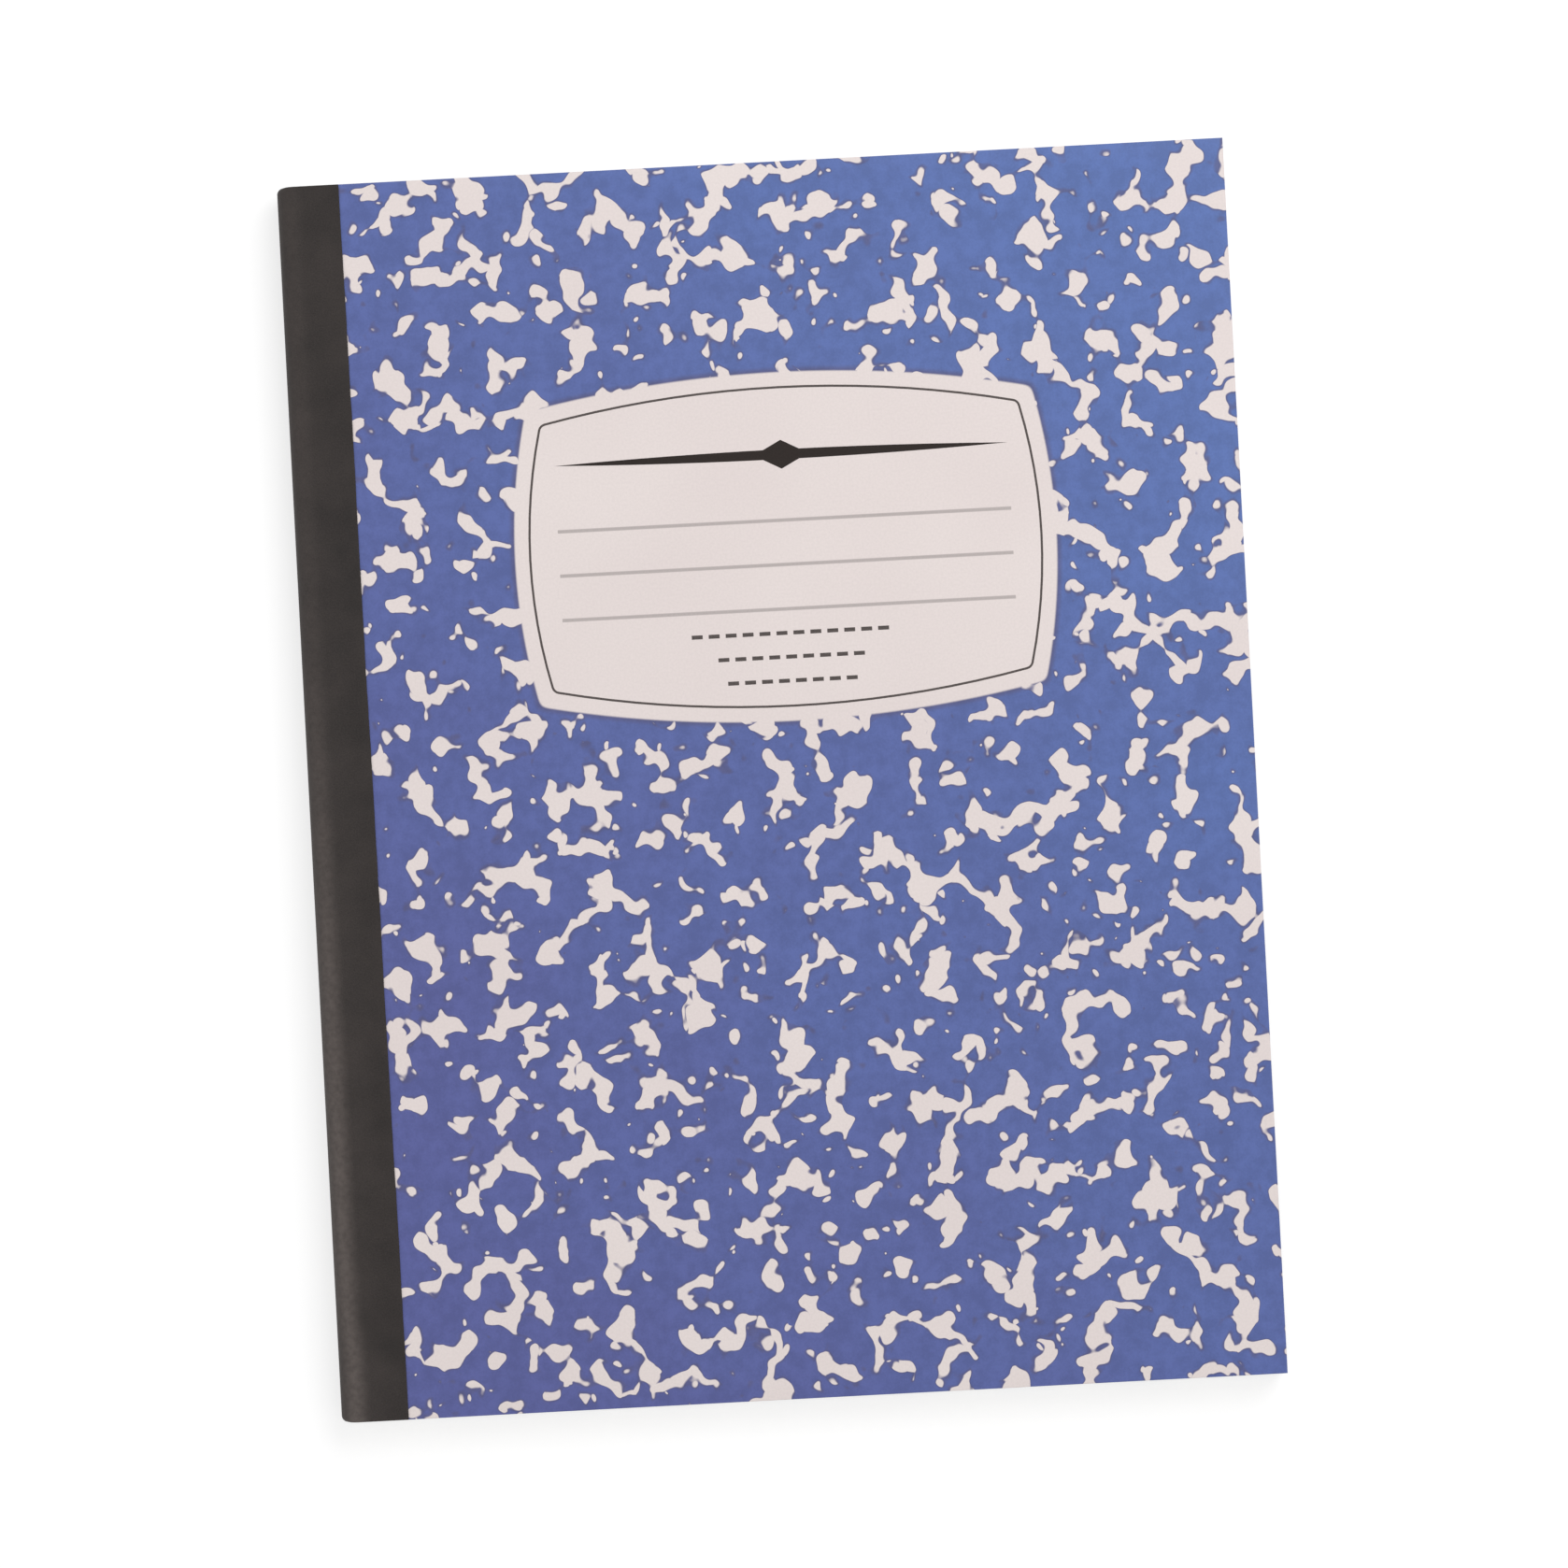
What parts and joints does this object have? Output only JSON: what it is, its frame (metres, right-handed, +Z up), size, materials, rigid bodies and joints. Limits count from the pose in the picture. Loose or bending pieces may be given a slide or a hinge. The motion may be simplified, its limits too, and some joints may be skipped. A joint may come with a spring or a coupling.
{
  "type": "composition notebook",
  "caption": "Sewn composition notebook with marbled stiff covers, a taped spine and a bow-sided label; both covers open flat on hinges along the spine.",
  "frame": {"origin": "centre of the closed book's base, on the surface that its back cover lies on", "axes": "+X from the spine to the fore edge, +Y from the tail to the head, +Z up through the closed book"},
  "size_m": [0.19, 0.248, 0.0106],
  "materials": {
    "cover_board": "satin",
    "cover_ink": "satin",
    "label_ink": "satin",
    "binding_tape": "matte",
    "page_paper": "matte",
    "thread": "matte"
  },
  "bodies": {
    "book_block": {"page_block": "page_paper", "tape_spine": "binding_tape", "needle_thread": "thread", "bobbin_thread": "thread"},
    "front_cover_body": {"front_cover": "cover_board", "front_print": "cover_ink", "label_print": "label_ink", "tape_front_leaf": "binding_tape"},
    "back_cover_body": {"back_cover": "cover_board", "back_print": "cover_ink", "tape_back_leaf": "binding_tape"}
  },
  "joints": [
    {"name": "front_cover_hinge", "type": "hinge", "parent": "book_block", "child": "front_cover_body", "pos_m": [-0.0914, 0, 0.01062], "axis": [0, -1, 0], "range_deg": [0, 180]},
    {"name": "back_cover_hinge", "type": "hinge", "parent": "book_block", "child": "back_cover_body", "pos_m": [-0.0914, 0, 0], "axis": [0, 1, 0], "range_deg": [0, 180]}
  ]
}
